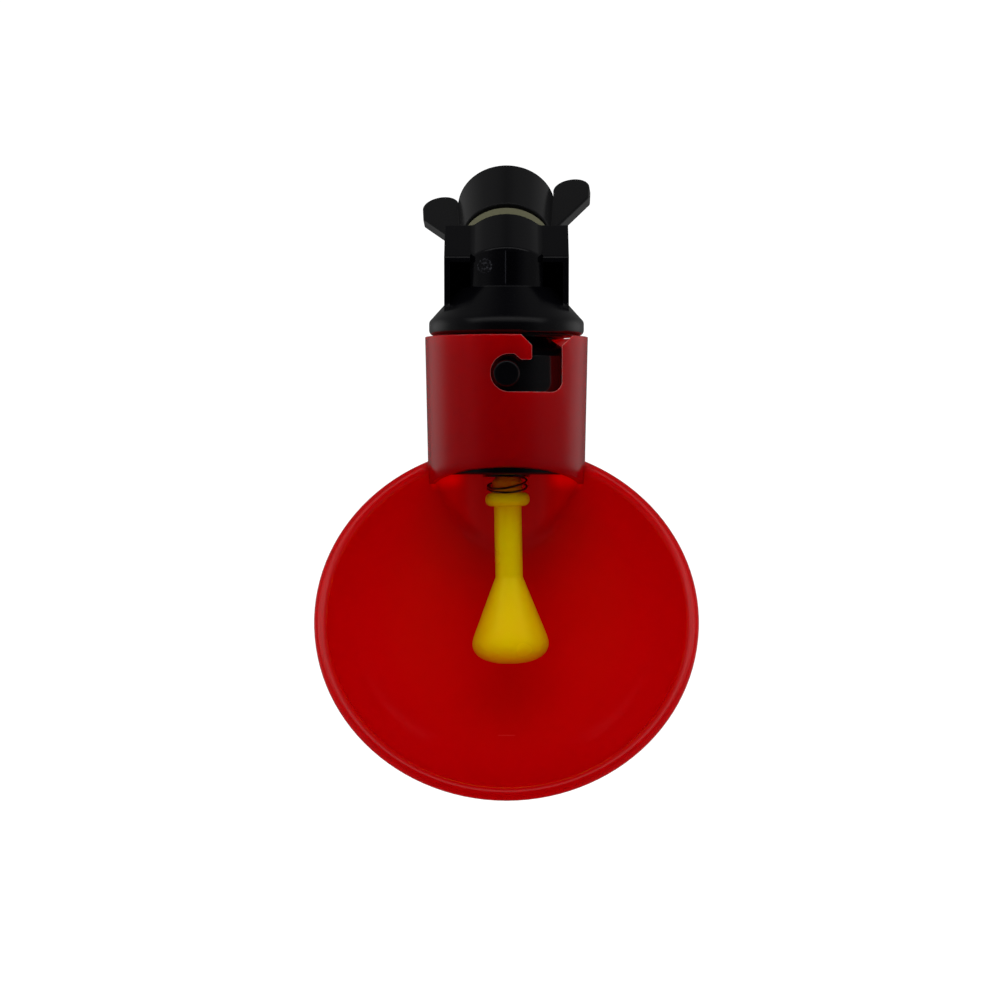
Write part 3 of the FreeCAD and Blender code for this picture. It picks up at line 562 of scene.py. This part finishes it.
def return_spring(material):
    """The trigger's spring: closed coils on the collar, an open stretch and a coil under the seat nut."""
    group, tree, inputs = geometry_tree("return_spring", {
        "Coil Radius": ("NodeSocketFloat", 0.004), "Wire Radius": ("NodeSocketFloat", 0.0002),
        "Foot": ("NodeSocketFloat", 0.0), "Open Rise": ("NodeSocketFloat", 0.003),
        "Sag": ("NodeSocketFloat", 0.001)})
    turns = SPRING_CLOSED_TURNS + SPRING_OPEN_TURNS + SPRING_TOP_TURNS
    points_per_turn = 48

    def place(share):
        turn = share * turns
        opened = (turn - SPRING_CLOSED_TURNS).step(0.0, SPRING_OPEN_TURNS)
        closed = turn.least(SPRING_CLOSED_TURNS) * (SPRING_CLOSED_PITCH / 1000)
        angle = turn * math.tau + math.radians(SPRING_FIRST_ANGLE)
        sagged = inputs["Sag"] * (1 - opened) * (1 + angle.math("SINE"))
        height = inputs["Foot"] + closed + inputs["Open Rise"] * opened + sagged
        return point_on_circle(tree, angle, inputs["Coil Radius"], height)

    wire_line = coil_curve(tree, int(turns * points_per_turn) + 1, place)
    section = tree.add("GeometryNodeCurvePrimitiveCircle", {}, {
        "Resolution": 14, "Radius": inputs["Wire Radius"]})
    mesh = tree.add("GeometryNodeCurveToMesh", {}, {
        "Curve": wire_line, "Profile Curve": section, "Fill Caps": True})
    finish_tree(group, tree, mesh, material)
    foot = SPRING_FOOT + SPRING_WIRE_RADIUS - SPRING_FRONT_TURN * SPRING_CLOSED_PITCH
    top = SPRING_TOP - SPRING_WIRE_RADIUS
    values = {
        "Coil Radius": SPRING_RADIUS / 1000, "Wire Radius": SPRING_WIRE_RADIUS / 1000,
        "Foot": foot / 1000, "Sag": SPRING_SAG / 1000,
        "Open Rise": (top - foot - SPRING_CLOSED_TURNS * SPRING_CLOSED_PITCH) / 1000}
    spring = grown_piece("return_spring", group, values, material)
    spring.data.transform(trigger_matrix())
    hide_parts("trigger_spring")
    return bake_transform(spring)


# Stage

def seen_as_background(tree):
    """1 for rays from the camera or through a clear piece, and 1 for rays from a gloss."""
    rays = tree.tree.nodes.new("ShaderNodeLightPath")
    camera, glossy, transmission = (Socket(tree, rays.outputs[name]) for name in (
        "Is Camera Ray", "Is Glossy Ray", "Is Transmission Ray"))
    return camera.most(transmission), glossy


def surroundings(tree, way):
    """Brightness of the surroundings in a direction, the same to the left and to the right."""
    back = (0, math.cos(math.radians(NECK_LEAN)), -math.sin(math.radians(NECK_LEAN)))
    panel = math.radians(SIDE_PANEL_ANGLE)
    towards_panel = (tree.parts(way)[0].abs() * math.cos(panel) + tree.dot(way, back) * math.sin(panel))
    stops = [(position, rgb(level, level, level)) for position, level in SURROUNDINGS]
    return tree.add("ShaderNodeValToRGB", {"stops": stops}, {0: 0.5 + 0.5 * towards_panel})


def make_floor():
    bpy.ops.mesh.primitive_plane_add(size=FLOOR_SIZE, location=(0, 0, FLOOR_HEIGHT))
    floor = bpy.context.object
    floor.name = "floor"
    material = bpy.data.materials.new("pale_floor")
    material.use_nodes = True
    tree = Tree(material.node_tree)
    place = tree.add("ShaderNodeNewGeometry", {}, {}, "Position")
    way = tree.add("ShaderNodeVectorMath", {"operation": "NORMALIZE"}, {0: place})
    seen, glossy = seen_as_background(tree)
    matt = tree.add("ShaderNodeBsdfDiffuse", {}, {"Color": rgb(0.8, 0.8, 0.8)})
    white = tree.add("ShaderNodeEmission", {}, {"Color": rgb(1, 1, 1), "Strength": FLOOR_GLOW})
    mirrored = tree.add("ShaderNodeEmission", {}, {"Color": surroundings(tree, way), "Strength": 1.0})
    shown = tree.add("ShaderNodeMixShader", {}, {0: glossy, 1: matt, 2: mirrored})
    shown = tree.add("ShaderNodeMixShader", {}, {0: seen * 0.85, 1: shown, 2: white})
    tree.add("ShaderNodeOutputMaterial", {}, {"Surface": shown})
    floor.data.materials.append(material)


def make_world():
    """White to the camera, and the surroundings to everything that mirrors them or is lit by them."""
    world = bpy.data.worlds.new("studio")
    bpy.context.scene.world = world
    world.use_nodes = True
    tree = Tree(world.node_tree)
    way = tree.add("ShaderNodeTexCoord", {}, {}, "Generated")
    seen = seen_as_background(tree)[0]
    light = tree.add("ShaderNodeBackground", {}, {
        "Color": rgb(1, 1, 1), "Strength": seen.most(surroundings(tree, way))})
    tree.add("ShaderNodeOutputWorld", {}, {"Surface": light})


def make_lamp(name, values, mirrored):
    """A rectangular lamp aimed at the cup, either only mirrored by glosses or never mirrored."""
    azimuth, elevation, distance, (width, height), radiance = values
    data = bpy.data.lights.new(name, "AREA")
    data.shape = "RECTANGLE"
    data.size = width
    data.size_y = height
    data.energy = radiance * math.pi * width * height
    lamp = bpy.data.objects.new(name, data)
    lamp.visible_glossy = mirrored
    lamp.visible_diffuse = not mirrored
    across = math.radians(azimuth)
    up = math.radians(elevation)
    way = Vector((math.cos(up) * math.sin(across), -math.cos(up) * math.cos(across), math.sin(up)))
    lamp.location = neck_to_use(0, 0, -CAMERA_DEPTH) + way * distance
    lamp.rotation_euler = way.to_track_quat("Z", "Y").to_euler()
    bpy.context.scene.collection.objects.link(lamp)


def make_camera():
    data = bpy.data.cameras.new("camera")
    data.sensor_width = SENSOR_WIDTH
    data.lens = SENSOR_WIDTH * PIXELS_PER_RADIAN / PHOTO_SIZE
    data.shift_x = (PHOTO_SIZE / 2 - AXIS_AT_PIXEL[0]) / PHOTO_SIZE
    data.shift_y = (AXIS_AT_PIXEL[1] - PHOTO_SIZE / 2) / PHOTO_SIZE
    data.clip_end = 50.0
    camera = bpy.data.objects.new("camera", data)
    camera.location = neck_to_use(0, -CAMERA_DISTANCE, -CAMERA_DEPTH)
    camera.rotation_euler = Euler((math.radians(90 - NECK_LEAN), 0, 0))
    bpy.context.scene.collection.objects.link(camera)
    bpy.context.scene.camera = camera


body_black = marked_black()
nut_black = black_plastic("nut_black_satin", ((0.0036, 0.0036, 0.0040), (0.0052, 0.0052, 0.0058)),
                          (0.18, 0.24), 0.06)[0]
seal_black = rubber("seal_rubber", ((0.006, 0.006, 0.006), (0.012, 0.012, 0.012)), (0.55, 0.7))
gasket_cream = rubber("gasket_rubber", ((0.108, 0.105, 0.060), (0.130, 0.128, 0.078)), (0.5, 0.65))
steel = spring_wire()

dress("cup", red_plastic())
dress("valve_body", body_black)
dress("seat_nut", body_black)
dress("wing_nut", nut_black)
dress("seat_ring", seal_black)
dress("valve_seal", seal_black)
yellow = yellow_plastic()
dress("trigger", yellow)
dress("wall_gasket", gasket_cream)

thread_ridge(body_black)
skirt_ring(body_black, "seating_lip", *SKIRT_RINGS[0])
skirt_ring(body_black, "seating_face", *SKIRT_RINGS[1])
return_spring(steel)
gate_nub(yellow)

make_floor()
make_world()
make_lamp("soft_box", SOFT_BOX, False)
make_lamp("front_fill", FRONT_FILL, False)
make_lamp("side_light_left", SIDE_LIGHT_LEFT, False)
make_lamp("side_light_right", SIDE_LIGHT_RIGHT, False)
make_lamp("mirrored_strip", MIRRORED_STRIP, True)
make_lamp("mirrored_panel", MIRRORED_PANEL, True)
make_camera()
bpy.context.scene.view_settings.view_transform = "Standard"
